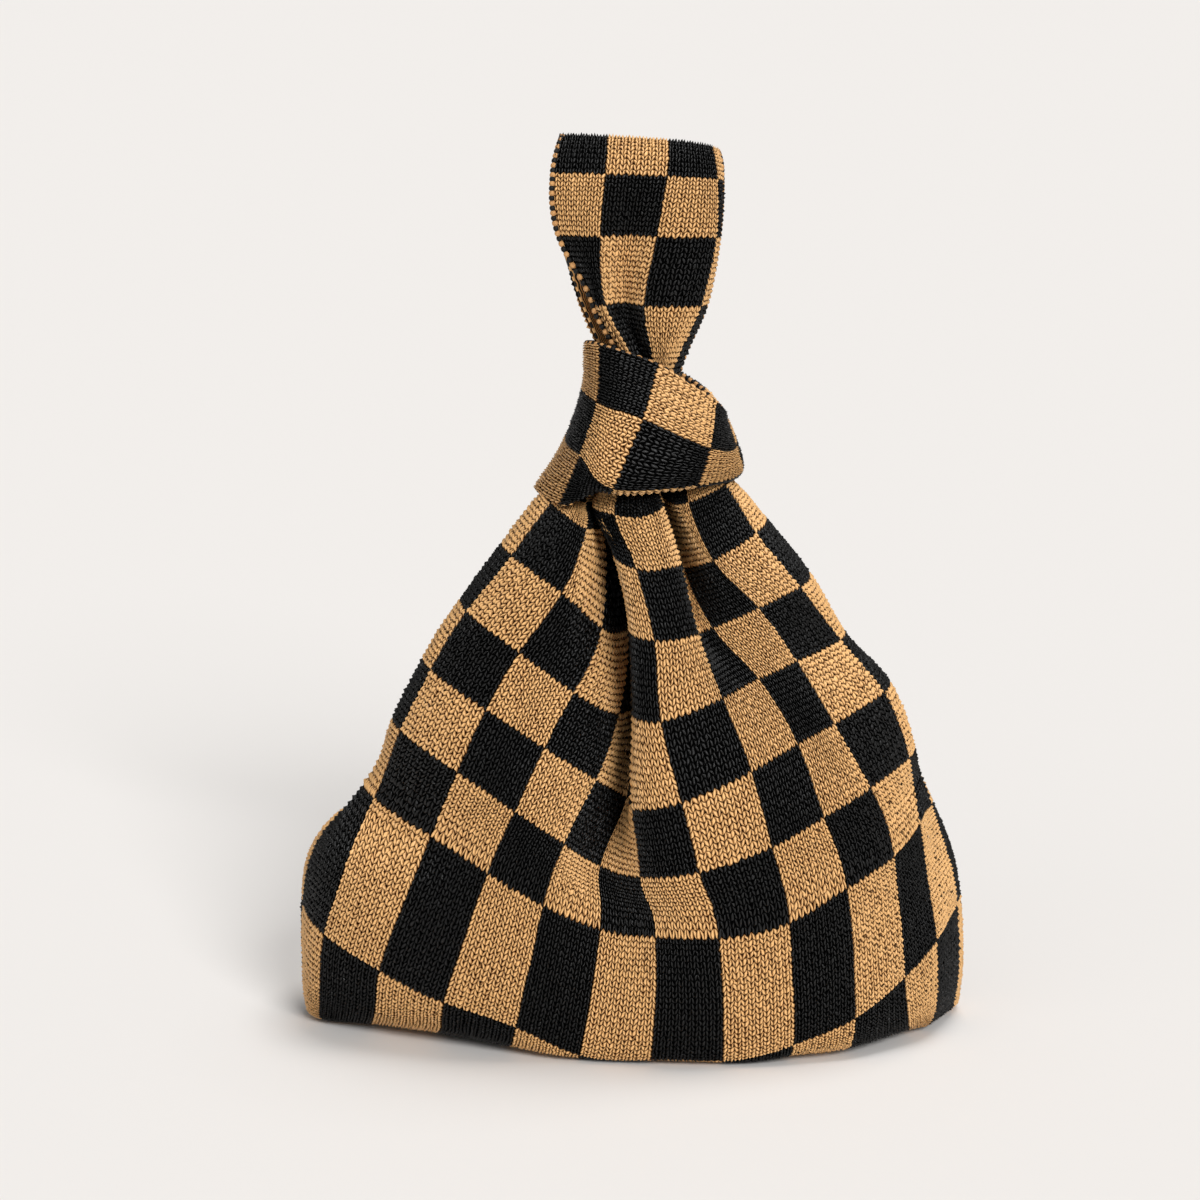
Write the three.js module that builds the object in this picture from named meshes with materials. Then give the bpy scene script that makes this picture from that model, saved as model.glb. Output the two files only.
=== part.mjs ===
// A knitted knot bag: a soft pouch of two-colour checked cloth, closed along the bottom and
// gathered at the mouth, with a long handle drawn up through a short one that wraps it as a knot.
// Units are millimetres, +Z is up, the front of the bag faces -Y, and the bag stands on z = 0.
import * as THREE from "three";

// Cloth and yarn.
const CLOTH_THICKNESS = 2.6;
const CHECKS_ROUND = 24;
const TAN_YARN = 0xb88a57;
const BLACK_YARN = 0x1d1c1c;
const YARN_ROUGHNESS = 0.82;

// How finely the cloth is cut into facets.
const FACETS_PER_CHECK_ROUND = 3;
const FACETS_PER_ROW = 2;

// The knitted row lines of the pouch, from the sole up. `middle`, `left` and `right` are the
// heights of the line at its lowest place and at the two side creases, `low` is the x of that
// lowest place, `softLeft` and `softRight` say how round the line is there. `front` and `back`
// are how far the cloth swells from the side seam, which lies at y = `seam`.
const ROWS = [
  { row: 0, middle: 0, left: 0, right: 0, low: 10,
    softLeft: 0.9, softRight: 0.9, front: 50, back: 36, seam: 4 },
  { row: 0.5, middle: 0, left: 17, right: 17, low: 18,
    softLeft: 0.9, softRight: 0.9, front: 66, back: 51, seam: 4 },
  { row: 1, middle: 2, left: 46, right: 46, low: 24,
    softLeft: 0.55, softRight: 0.8, front: 70, back: 60, seam: 4 },
  { row: 1.6, middle: 28.5, left: 82, right: 74.5, low: 27,
    softLeft: 0.4, softRight: 0.73, front: 70, back: 65, seam: 2.93 },
  { row: 2, middle: 50, left: 102, right: 90, low: 24,
    softLeft: 0.35, softRight: 0.7, front: 69, back: 66, seam: 2 },
  { row: 3, middle: 76, left: 126, right: 117, low: -4,
    softLeft: 0.12, softRight: 0.6, front: 66, back: 66, seam: 0 },
  { row: 4, middle: 102, left: 148, right: 140, low: 2,
    softLeft: 0.1, softRight: 0.3, front: 61, back: 63, seam: 0 },
  { row: 5, middle: 134, left: 169, right: 161, low: 8,
    softLeft: 0.15, softRight: 0.12, front: 56, back: 58, seam: 0 },
  { row: 6, middle: 163, left: 191, right: 180, low: 10,
    softLeft: 0.3, softRight: 0.3, front: 50, back: 52, seam: 0 },
  { row: 7, middle: 188, left: 208, right: 199, low: 8,
    softLeft: 0.2, softRight: 0.3, front: 42, back: 44, seam: 0 },
  { row: 8, middle: 206, left: 217, right: 211, low: 4,
    softLeft: 0.3, softRight: 0.3, front: 31, back: 34, seam: 0 },
  { row: 9, middle: 222, left: 222, right: 222, low: 0,
    softLeft: 0.4, softRight: 0.4, front: 22, back: 24, seam: 0 },
];

// The folds that run up the pouch, in order round it from the left side, one row for each fold.
// Every list has one value for each knitted row line above. `check` is the line of the checks
// that the fold follows (0 is the middle of the front), `x` is where it runs, `inset` is how far
// it lies inside the swell of the cloth, and a side has its depth `y` and its `drop` instead.
const FRONT_FOLDS = [
  {
    fold: "left side",
    check: [-6.4, -6.4, -6.4, -6.4, -6.4, -6.4, -6.4, -6.4, -6.4, -6.4, -6.4, -6.4],
    x: [-125.5, -129, -130, -121, -101.5, -83, -71, -56, -42, -29, -20, -15],
    y: [5, 5.7, 6, 8, 10, 22, 24, 24, 22, 20, 14, 10],
    drop: [0, 0, 0, 9, 10, 8, 4, 0, 0, 0, 0, 0],
  },
  {
    fold: "left crease",
    check: [-5.45, -5.5, -5.45, -5.4, -5.45, -5.45, -5.45, -5.45, -5.45, -5.45, -5.45, -5.45],
    x: [-117.5, -122, -124.5, -114.5, -103, -92, -80.5, -65.5, -49, -34, -24, -18],
    inset: [0, 0, 0, 0, 0, 0, 0, 0, 0, 0, 0, 0],
  },
  {
    fold: "left panel",
    check: [-3.6, -3.6, -3.6, -3.6, -3.6, -3.5, -3.5, -3.5, -3.7, -4, -4, -4],
    x: [-92, -89, -87, -75.5, -67, -54, -43, -31.5, -20.5, -16.5, -16.5, -13.5],
    inset: [14, 12, 7, 3, 2, 0, 0, 0, 0, 0, 0, 0],
  },
  {
    fold: "lip of the deep fold",
    check: [-2, -2, -2, -2, -2, -2, -2.1, -2.4, -3, -3.5, -3.6, -3.6],
    x: [-50, -46, -44, -37.5, -33, -24.5, -14, -9.5, -10, -13, -14, -11],
    inset: [12, 11, 7, 4, 2, 2, 4, 6, 7, 6, 3, 2],
  },
  {
    fold: "deep fold",
    check: [-1, -1, -1, -1, -1, -1, -0.95, -0.9, -1.1, -1.4, -1.4, -1.4],
    x: [-24, -21, -19.5, -14.5, -11.5, -12.5, -4.5, -1, -4.5, -8.5, -9.5, -7],
    inset: [9, 8, 5, 4, 5, 9, 16, 22, 23, 20, 10, 3],
  },
  {
    fold: "left edge of the pleat",
    check: [0.5, 0.5, 0.5, 0.5, 0.5, 0.35, 0.15, 0.5, 0.55, 0.6, 0.65, 0.65],
    x: [16, 19, 21, 21.5, 20, 9, 2, 5, 0.5, -4, -5, -3],
    inset: [4, 3, 2, 0, 0, 0, -1, -2, -3, -3, -3, -2],
  },
  {
    fold: "right edge of the pleat",
    check: [2, 2, 2, 2, 2, 2, 2, 1.85, 1.9, 2, 2, 2],
    x: [56, 60, 62, 61.5, 60, 53, 45, 32, 24, 19, 12.5, 7.5],
    inset: [0, 0, 0, 0, 0, 0, 0, -1, -2, -3, -3, -2],
  },
  {
    fold: "right fold",
    check: [3, 3, 3, 3, 3, 3, 3, 2.8, 2.8, 2.8, 2.6, 2.6],
    x: [82, 84.5, 86, 84.5, 82, 73, 63, 47, 30, 19.5, 15, 9.5],
    inset: [-2, -2, -1, 0, 0, 0, 0, 1, 5, 12, 12, 7],
  },
  {
    fold: "right panel",
    check: [4, 4, 4, 4, 4, 4, 4, 4, 4, 4, 3.6, 3.2],
    x: [106, 106, 106, 103.5, 101, 91, 77, 63, 48, 31, 23, 14.5],
    inset: [0, 0, 0, 0, 0, 0, 0, 0, 0, 1, 1, 1],
  },
  {
    fold: "right crease",
    check: [5.4, 5.4, 5.4, 5.4, 5.4, 5.4, 5.4, 5.4, 5.4, 5.4, 5.3, 5.2],
    x: [119, 123, 122, 117, 113.5, 110, 100.5, 83, 69.5, 52, 38, 24],
    inset: [0, 0, 0, 0, 0, 0, 0, 0, 0, 0, 0, 0],
  },
  {
    fold: "right side",
    check: [6.3, 6.3, 6.3, 6.3, 6.3, 6.3, 6.3, 6.3, 6.3, 6.3, 6.3, 6.3],
    x: [132, 132, 129, 121.5, 117.5, 104.5, 91, 75, 66, 50, 35, 21],
    y: [8, 8, 8, 10, 12, 20, 22, 22, 22, 22, 16, 11],
    drop: [0, 0, 0, 4, 6, 4, 0, 0, 0, 0, 0, 0],
  },
];

// The folds of the back, from right to left. `across` is the place between the middle (0) and
// the side (1), and `inset` is as above.
const BACK_FOLDS = [
  { fold: "back right fold", check: 8.1, across: 0.66, inset: [0, 0, 0, -0.14, 0, 2, 4, 6, 7, 6, 3, 1] },
  { fold: "back right swell", check: 9.6, across: 0.4, inset: [0, 0, 0, 0, 0, 0, 0, 0, 0, 0, 0, 0] },
  { fold: "back middle fold", check: 11, across: 0.1, inset: [0, 0, 0, 0.93, 2, 6, 12, 16, 17, 12, 5, 2] },
  { fold: "back middle swell", check: 12.5, across: -0.2, inset: [0, 0, 0, 0, 0, 0, 0, 0, 0, 0, 0, 0] },
  { fold: "back left fold", check: 14.1, across: -0.48, inset: [0, 0, 0, 0.39, 1, 4, 8, 12, 13, 9, 4, 1] },
  { fold: "back left swell", check: 15.8, across: -0.76, inset: [0, 0, 0, 0, 0, 0, 0, 0, 0, 0, 0, 0] },
];

// The long handle, one row for each knitted row line from the foot of the near leg, over the
// top, to the foot of the far leg. `x0` and `x4` are its two edges and `x1`, `x2`, `x3` the lines
// between its checks. `edge0`, `face`, `groove` and `edge4` are the depths (y) of the left edge,
// the flat of the strap, the fold along its middle and the right edge. `z` is the height at the
// middle, and `fall` is how much lower the right edge lies.
const LONG_HANDLE = [
  { row: 4.9, z: 222.5, fall: 0, x0: -7, x1: -3, x2: 2, x3: 10, x4: 13.5,
    edge0: -13, face: -19, groove: -18.5, edge4: -13 },
  { row: 4.0, z: 257, fall: 0, x0: -1.5, x1: 1.5, x2: 9, x3: 15, x4: 18.5,
    edge0: -2, face: -10, groove: -9.5, edge4: -2 },
  { row: 3.0, z: 284, fall: 1, x0: -12.5, x1: -10, x2: 5.3, x3: 26, x4: 28.5,
    edge0: -3, face: -11, groove: -6.5, edge4: -2 },
  { row: 2.0, z: 310, fall: 1, x0: -26.5, x1: -11.6, x2: 9.7, x3: 31.5, x4: 33,
    edge0: -11, face: -13.5, groove: -11, edge4: -6 },
  { row: 1.0, z: 333, fall: 3, x0: -29.5, x1: -9.7, x2: 13.4, x3: 32, x4: 34,
    edge0: -11, face: -13, groove: -13, edge4: -8 },
  { row: 0.5, z: 346, fall: 6, x0: -27, x1: -8.6, x2: 14, x3: 30.5, x4: 32.7,
    edge0: 0, face: 0, groove: 0, edge4: 0 },
  { row: 0.0, z: 333, fall: 3, x0: -29.5, x1: -9, x2: 13, x3: 32, x4: 34.5,
    edge0: 12, face: 13, groove: 13, edge4: 11 },
  { row: -1, z: 309, fall: 1, x0: -27.5, x1: -10, x2: 9, x3: 27, x4: 30,
    edge0: 12, face: 15, groove: 14.5, edge4: 12 },
  { row: -2, z: 284, fall: 0, x0: -20, x1: -14, x2: 3, x3: 16, x4: 20,
    edge0: 11, face: 17, groove: 16, edge4: 12 },
  { row: -3, z: 257, fall: 0, x0: -10.5, x1: -6, x2: -1.5, x3: 4.5, x4: 8.5,
    edge0: 9, face: 15, groove: 14.5, edge4: 9 },
  { row: -4, z: 222.5, fall: 0, x0: -13, x1: -9, x2: -3, x3: 4, x4: 8.5,
    edge0: 15, face: 21, groove: 20.5, edge4: 15 },
];
const LONG_HANDLE_LINES = [0, 1, 1.5, 2, 3, 3.45];

// The short handle wrapped round as the knot, one row for each direction looking in from
// outside. The four places go down its face: `top` edge, the two lines between its three rows of
// checks, and the `foot` edge, which is turned in under the knot.
const SHORT_HANDLE = [
  { side: "left", row: -0.5,
    top: [-18, 0, 268], upper: [-18.5, -4, 250],
    lower: [-25, -4, 230], foot: [-37, -4, 212] },
  { side: "front left", row: 0,
    top: [-12.5, -15, 269.5], upper: [-13.5, -24.5, 249],
    lower: [-20, -31, 230], foot: [-27.5, -34, 212] },
  { side: "front", row: 1,
    top: [10.8, -18, 262.5], upper: [4.4, -33, 244],
    lower: [-6.8, -42, 222], foot: [-5.5, -37, 216] },
  { side: "front right", row: 2,
    top: [33, -13, 247.5], upper: [30.4, -28, 232],
    lower: [25.5, -34, 221], foot: [24, -28.5, 216] },
  { side: "right", row: 3,
    top: [36.5, -1, 241.5], upper: [41, -4, 229],
    lower: [43.2, -6, 219.5], foot: [37, -3, 214.5] },
  { side: "back right", row: 4,
    top: [29, 15, 249], upper: [34, 24, 240],
    lower: [35, 27, 226], foot: [30, 27, 213] },
  { side: "back", row: 5.4,
    top: [8, 23.5, 260], upper: [7, 33, 246],
    lower: [4, 37, 229], foot: [3, 38, 212] },
  { side: "back left", row: 6.8,
    top: [-14, 18.5, 266], upper: [-17, 25, 249],
    lower: [-23, 28, 231], foot: [-30, 27, 212] },
];
const SHORT_HANDLE_ROWS = 8;

// A smooth curve through `values` at the uneven places `knots`, read at `t`.
function smooth(knots, values, t) {
  const last = knots.length - 1;
  let i = 0;
  while (i < last - 1 && t > knots[i + 1]) {
    i += 1;
  }
  const slope = (j) => {
    if (j === 0) {
      return (values[1] - values[0]) / (knots[1] - knots[0]);
    }
    if (j === last) {
      return (values[last] - values[last - 1]) / (knots[last] - knots[last - 1]);
    }
    const before = knots[j] - knots[j - 1];
    const after = knots[j + 1] - knots[j];
    const rising = ((values[j] - values[j - 1]) / before) * after;
    const falling = ((values[j + 1] - values[j]) / after) * before;
    return (rising + falling) / (before + after);
  };
  const span = knots[i + 1] - knots[i];
  const a = (t - knots[i]) / span;
  const a2 = a * a;
  const a3 = a2 * a;
  const start = (2 * a3 - 3 * a2 + 1) * values[i] + (a3 - 2 * a2 + a) * slope(i) * span;
  const end = (-2 * a3 + 3 * a2) * values[i + 1] + (a3 - a2) * slope(i + 1) * span;
  return start + end;
}

const ROW_KNOTS = ROWS.map((line) => line.row);

function atRow(row, list) {
  return smooth(ROW_KNOTS, list, row);
}

function rowValue(row, column) {
  return atRow(row, ROWS.map((line) => line[column]));
}

// How far the cloth swells towards the front at `x`, between the sides `left` and `right`.
function swell(x, left, right, depth) {
  const u = Math.min(1, Math.abs((x - (left + right) / 2) / ((right - left) / 2)));
  return depth * (1 - u ** 2.4) ** 0.458;
}

// The places of all folds in one knitted row line, each with its check number and its x and y.
function foldPlaces(row) {
  const xs = FRONT_FOLDS.map((fold) => atRow(row, fold.x));
  const last = xs.length - 1;
  const left = Math.min(xs[0], xs[1]) - 1.5;
  const right = Math.max(xs[last], xs[last - 1]) + 1.5;
  const seam = rowValue(row, "seam");
  const front = rowValue(row, "front");
  const places = FRONT_FOLDS.map((fold, i) => ({
    check: atRow(row, fold.check),
    x: xs[i],
    y: fold.y
      ? atRow(row, fold.y)
      : seam - swell(xs[i], left, right, front) + atRow(row, fold.inset),
  }));
  const middle = (xs[0] + xs[last]) / 2;
  const half = (xs[last] - xs[0]) / 2;
  const side = (places[0].y + places[last].y) / 2;
  const reach = rowValue(row, "back") + seam - side;
  BACK_FOLDS.forEach((fold) => {
    places.push({
      check: fold.check,
      x: middle + fold.across * half * 1.02,
      y: side + reach * Math.sqrt(1 - Math.abs(fold.across) ** 2.4) - atRow(row, fold.inset),
    });
  });
  return places;
}

// The height of a knitted row line at `x`: lowest in the middle and drawn up at the sides.
function rowHeight(row, x, creaseLeft, creaseRight) {
  const low = rowValue(row, "low");
  const middle = rowValue(row, "middle");
  const toLeft = x < low;
  const reach = toLeft ? (low - x) / (low - creaseLeft) : (x - low) / (creaseRight - low);
  const soft = rowValue(row, toLeft ? "softLeft" : "softRight");
  const rise = rowValue(row, toLeft ? "left" : "right") - middle;
  const t = Math.min(reach, 1.08);
  return middle + (rise * (Math.hypot(t, soft) - soft)) / (Math.hypot(1, soft) - soft);
}

// How strongly a side drop tells at `check`: fully on the side, fading to both sides of it.
function nearSide(check, side, frontReach, backReach) {
  const away = check - side;
  const reach = away * Math.sign(side) < 0 ? frontReach : backReach;
  return Math.max(0, 1 - Math.abs(away) / reach);
}

// One knitted row line as a closed curve: a function from the check number to a point.
function rowLine(row) {
  const places = foldPlaces(row);
  const n = places.length;
  const wrap = [
    ...places.slice(n - 2).map((p) => ({ ...p, check: p.check - CHECKS_ROUND })),
    ...places,
    ...places.slice(0, 2).map((p) => ({ ...p, check: p.check + CHECKS_ROUND })),
  ];
  const knots = wrap.map((p) => p.check);
  const xs = wrap.map((p) => p.x);
  const ys = wrap.map((p) => p.y);
  const start = places[0].check;
  const creaseLeft = atRow(row, FRONT_FOLDS[1].x);
  const creaseRight = atRow(row, FRONT_FOLDS[FRONT_FOLDS.length - 2].x);
  const leftSide = FRONT_FOLDS[0];
  const rightSide = FRONT_FOLDS[FRONT_FOLDS.length - 1];
  return (given) => {
    const check = start + ((((given - start) % CHECKS_ROUND) + CHECKS_ROUND) % CHECKS_ROUND);
    const x = smooth(knots, xs, check);
    const y = smooth(knots, ys, check);
    const leftCheck = check > CHECKS_ROUND / 2 ? check - CHECKS_ROUND : check;
    const leftDrop = atRow(row, leftSide.drop) * nearSide(leftCheck, start, 0.9, 2.2);
    const rightDrop = atRow(row, rightSide.drop) * nearSide(check, rightSide.check[0], 0.9, 2.2);
    const z = rowHeight(row, x, creaseLeft, creaseRight) - leftDrop - rightDrop;
    return new THREE.Vector3(x, y, Math.max(0, z));
  };
}

// Evenly cut places between neighbouring knots, `perUnit` to each unit of length.
function cutPlaces(knots, perUnit) {
  const places = [];
  for (let i = 0; i < knots.length - 1; i += 1) {
    const span = knots[i + 1] - knots[i];
    const cuts = Math.max(2, Math.round(Math.abs(span) * perUnit));
    for (let j = 0; j < cuts; j += 1) {
      places.push(knots[i] + (span * j) / cuts);
    }
  }
  places.push(knots[knots.length - 1]);
  return places;
}

// The way a line heads at `point`, halfway between its two parts there.
function heading(before, point, after) {
  const arriving = new THREE.Vector3().subVectors(point, before).normalize();
  const leaving = new THREE.Vector3().subVectors(after, point).normalize();
  return arriving.add(leaving);
}

// The normals of a grid of points; `closed` says that its columns run all the way round.
function gridNormals(grid, closed) {
  const rows = grid.length;
  const columns = grid[0].length;
  return grid.map((line, i) =>
    line.map((point, j) => {
      const up = grid[Math.min(i + 1, rows - 1)][j];
      const down = grid[Math.max(i - 1, 0)][j];
      const nextColumn = closed ? (j + 1) % columns : Math.min(j + 1, columns - 1);
      const lastColumn = closed ? (j + columns - 1) % columns : Math.max(j - 1, 0);
      const along = heading(line[lastColumn], point, line[nextColumn]);
      const rise = heading(down, point, up);
      return along.cross(rise).normalize();
    }),
  );
}

// Writes triangles into a mesh from points that are shared between faces.
class Cloth {
  constructor() {
    this.points = [];
    this.faces = [];
  }

  addGrid(grid) {
    return grid.map((line) =>
      line.map((point) => {
        this.points.push(point.x, point.y, point.z);
        return this.points.length / 3 - 1;
      }),
    );
  }

  addFour(a, b, c, d) {
    this.faces.push(a, b, c, a, c, d);
  }

  // Skins a grid of point numbers; `flip` turns its faces the other way.
  skin(numbers, closed, flip) {
    const columns = numbers[0].length;
    for (let i = 0; i < numbers.length - 1; i += 1) {
      for (let j = 0; j < (closed ? columns : columns - 1); j += 1) {
        const k = (j + 1) % columns;
        const four = [numbers[i][j], numbers[i][k], numbers[i + 1][k], numbers[i + 1][j]];
        this.addFour(...(flip ? four.reverse() : four));
      }
    }
  }

  // Joins two lines of point numbers of the same length by a strip.
  strip(first, second, closed) {
    for (let j = 0; j < (closed ? first.length : first.length - 1); j += 1) {
      const k = (j + 1) % first.length;
      this.addFour(first[j], first[k], second[k], second[j]);
    }
  }

  // Fills a flat closed line of point numbers, seen from above or, if `flip`, from below.
  fill(line, flip) {
    const outline = line.map((n) => new THREE.Vector2(this.points[3 * n], this.points[3 * n + 1]));
    THREE.ShapeUtils.triangulateShape(outline, []).forEach((three) => {
      const [a, b, c] = three.map((n) => line[n]);
      this.faces.push(...(flip ? [a, c, b] : [a, b, c]));
    });
  }

  mesh(name, colour) {
    const geometry = new THREE.BufferGeometry();
    geometry.setAttribute("position", new THREE.Float32BufferAttribute(this.points, 3));
    geometry.setIndex(this.faces);
    geometry.computeVertexNormals();
    const yarn = new THREE.MeshStandardMaterial({
      color: colour,
      roughness: YARN_ROUGHNESS,
      metalness: 0,
    });
    const mesh = new THREE.Mesh(geometry, yarn);
    mesh.name = name;
    return mesh;
  }
}

function offsetGrid(grid, normals, distance) {
  return grid.map((line, i) =>
    line.map((point, j) => point.clone().addScaledVector(normals[i][j], distance)),
  );
}

// The pouch: its outer face from the sole to the mouth, the same face one cloth further in,
// a flat sole and the turned edge of the mouth.
function makeBody() {
  const start = FRONT_FOLDS[0].check[5];
  const places = [
    ...FRONT_FOLDS.map((fold) => fold.check[5]),
    ...BACK_FOLDS.map((fold) => fold.check),
    start + CHECKS_ROUND,
  ];
  const checks = cutPlaces(places, FACETS_PER_CHECK_ROUND).slice(0, -1);
  const rows = cutPlaces(ROW_KNOTS, FACETS_PER_ROW);
  const outer = rows.map((row) => {
    const line = rowLine(row);
    return checks.map((check) => line(check));
  });
  const inner = offsetGrid(outer, gridNormals(outer, true), -CLOTH_THICKNESS);
  inner.forEach((line) =>
    line.forEach((point) => {
      point.z = Math.max(point.z, CLOTH_THICKNESS);
    }),
  );
  levelLine(inner[0], CLOTH_THICKNESS);
  levelLine(inner[inner.length - 1], ROWS[ROWS.length - 1].middle);
  const cloth = new Cloth();
  const outside = cloth.addGrid(outer);
  const inside = cloth.addGrid(inner);
  cloth.skin(outside, true, false);
  cloth.skin(inside, true, true);
  cloth.fill(outside[0], true);
  cloth.fill(inside[0], false);
  const top = rows.length - 1;
  cloth.strip(outside[top], inside[top], true);
  return cloth.mesh("body", TAN_YARN);
}

function levelLine(line, height) {
  line.forEach((point) => {
    point.z = height;
  });
}

// A closed sheet with four edges from the grid of its middle surface.
function closeSheet(middle, name, colour) {
  const normals = gridNormals(middle, false);
  const outer = offsetGrid(middle, normals, CLOTH_THICKNESS / 2);
  const inner = offsetGrid(middle, normals, -CLOTH_THICKNESS / 2);
  const last = middle.length - 1;
  [outer, inner].forEach((grid) => {
    levelLine(grid[0], middle[0][0].z);
    levelLine(grid[last], middle[last][0].z);
  });
  const cloth = new Cloth();
  const outside = cloth.addGrid(outer);
  const inside = cloth.addGrid(inner);
  const end = middle[0].length - 1;
  cloth.skin(outside, false, false);
  cloth.skin(inside, false, true);
  cloth.strip(inside[0], outside[0], false);
  cloth.strip(outside[last], inside[last], false);
  cloth.strip(outside.map((line) => line[0]), inside.map((line) => line[0]), false);
  cloth.strip(inside.map((line) => line[end]), outside.map((line) => line[end]), false);
  return cloth.mesh(name, colour);
}

// The long handle: one strap over the top, folded along its length where it enters the knot.
function makeLongHandle() {
  const order = LONG_HANDLE.map((line, i) => i);
  const steps = cutPlaces(order, 3);
  const lines = cutPlaces(LONG_HANDLE_LINES, 4);
  const grid = steps.map((step) => {
    const value = (column) => smooth(order, LONG_HANDLE.map((line) => line[column]), step);
    const middle = (value("x1") + value("x2")) / 2;
    const xs = [value("x0"), value("x1"), middle, value("x2"), value("x3"), value("x4")];
    const face = value("face");
    const turn = (2 * face + value("edge4")) / 3;
    const ys = [value("edge0"), face, value("groove"), face, turn, value("edge4")];
    return lines.map((line) => {
      const x = smooth(LONG_HANDLE_LINES, xs, line);
      const y = smooth(LONG_HANDLE_LINES, ys, line);
      const z = value("z") - (value("fall") * line * line) / 12;
      return new THREE.Vector3(x, y, z);
    });
  });
  return closeSheet(grid, "long_handle", TAN_YARN);
}

// The short handle: a band of cloth round the knot, its foot edge turned in.
function makeShortHandle() {
  const n = SHORT_HANDLE.length;
  const around = [
    ...SHORT_HANDLE.slice(n - 2).map((line) => ({ ...line, row: line.row - SHORT_HANDLE_ROWS })),
    ...SHORT_HANDLE,
    ...SHORT_HANDLE.slice(0, 2).map((line) => ({ ...line, row: line.row + SHORT_HANDLE_ROWS })),
  ];
  const knots = around.map((line) => line.row);
  const places = [...SHORT_HANDLE.map((line) => line.row), knots[2] + SHORT_HANDLE_ROWS];
  const rows = cutPlaces(places, 5).slice(0, -1);
  const columns = ["foot", "lower", "upper", "top"];
  const grid = cutPlaces([0, 1, 2, 3], 4).map((height) =>
    rows.map((row) => {
      const axis = (a) =>
        smooth(
          [0, 1, 2, 3],
          columns.map((column) => smooth(knots, around.map((line) => line[column][a]), row)),
          height,
        );
      return new THREE.Vector3(axis(0), axis(1), axis(2));
    }),
  );
  const inner = offsetGrid(grid, gridNormals(grid, true), -CLOTH_THICKNESS);
  const cloth = new Cloth();
  const outside = cloth.addGrid(grid);
  const inside = cloth.addGrid(inner);
  const top = grid.length - 1;
  cloth.skin(outside, true, false);
  cloth.skin(inside, true, true);
  cloth.strip(inside[0], outside[0], true);
  cloth.strip(outside[top], inside[top], true);
  return cloth.mesh("short_handle", BLACK_YARN);
}

const bag = new THREE.Group();
bag.name = "knot_bag";
bag.add(makeBody());
bag.add(makeLongHandle());
bag.add(makeShortHandle());

export default bag;
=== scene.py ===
# %% [markdown]
# # A knitted knot bag
#
# The real bag is two yarns, tan and black, knitted as a checkerboard. It is a pouch, closed along
# the bottom and gathered at its mouth, with two handles: the long one is drawn up through the
# short one, which wraps round it as a knot. Every stitch shows, so this scene is about one
# thing: how a flat grid of knitting becomes cloth that hangs, folds and wraps.
#
# The plan for each cloth is the same. It starts as a flat grid, laid out in stitches. Each
# vertex is then moved to where that stitch hangs on the bag, and up or down by the relief
# of the stitch. The stitch numbers stay on the grid as its UV map, so colour, yarn and fibres
# follow the folds of the cloth and never slide over them.
#
# A cloth simulation would find folds of its own. The folds of this bag are known, so they are
# given by tables instead, and every length in the tables is in millimetres.
#
# The frame's solids are loaded first, and those that the knitting covers are hidden later.

import math

import bpy
import numpy as np
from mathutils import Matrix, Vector


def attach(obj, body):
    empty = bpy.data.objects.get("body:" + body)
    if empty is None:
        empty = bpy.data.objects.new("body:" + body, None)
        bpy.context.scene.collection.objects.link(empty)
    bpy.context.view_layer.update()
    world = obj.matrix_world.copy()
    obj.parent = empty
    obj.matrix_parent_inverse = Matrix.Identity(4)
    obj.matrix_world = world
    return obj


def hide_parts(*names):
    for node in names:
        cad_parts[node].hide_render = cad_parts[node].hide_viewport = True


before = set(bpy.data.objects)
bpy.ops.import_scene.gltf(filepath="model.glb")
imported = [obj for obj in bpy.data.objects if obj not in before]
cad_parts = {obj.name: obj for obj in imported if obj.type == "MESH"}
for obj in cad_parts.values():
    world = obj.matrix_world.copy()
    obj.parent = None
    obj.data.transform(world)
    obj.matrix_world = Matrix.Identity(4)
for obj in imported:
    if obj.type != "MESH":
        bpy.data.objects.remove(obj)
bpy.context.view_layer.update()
bpy.ops.object.select_all(action="DESELECT")
MM = 0.001
print("the frame's nodes:", sorted(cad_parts))

# %% [markdown]
# ## The camera
#
# The photograph looks slightly down on the bag from some way off, through a long lens, which
# keeps the checks nearly the same size from front to back. A long lens here needs a camera
# that is far away, so it stands 1.3 m from the middle of the bag.

# %% Place the camera
VIEW_HEIGHT = math.radians(12)
DISTANCE = 1.3
AIM = Vector((-11.6, 0, 167.8)) * MM
LENS = 100.8
SENSOR_WIDTH = 36
camera_data = bpy.data.cameras.new("photo_camera")
camera_data.lens = LENS
camera_data.sensor_width = SENSOR_WIDTH
camera = bpy.data.objects.new("photo_camera", camera_data)
bpy.context.scene.collection.objects.link(camera)
camera.location = AIM + DISTANCE * Vector((0, -math.cos(VIEW_HEIGHT), math.sin(VIEW_HEIGHT)))
camera.rotation_euler = (AIM - camera.location).to_track_quat("-Z", "Y").to_euler()
bpy.context.scene.camera = camera
print("the camera stands at", [round(c, 3) for c in camera.location])

# %% [markdown]
# ## Smooth curves through a few places
#
# Cloth has no straight lines, but its shape is set by a few folds. A Hermite curve passes
# through each place in a short list, with a slope there that comes from its neighbours, and
# the places may be unevenly spaced. The same curve serves for how a fold runs up the bag
# and for how a row of stitches runs from fold to fold.


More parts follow.
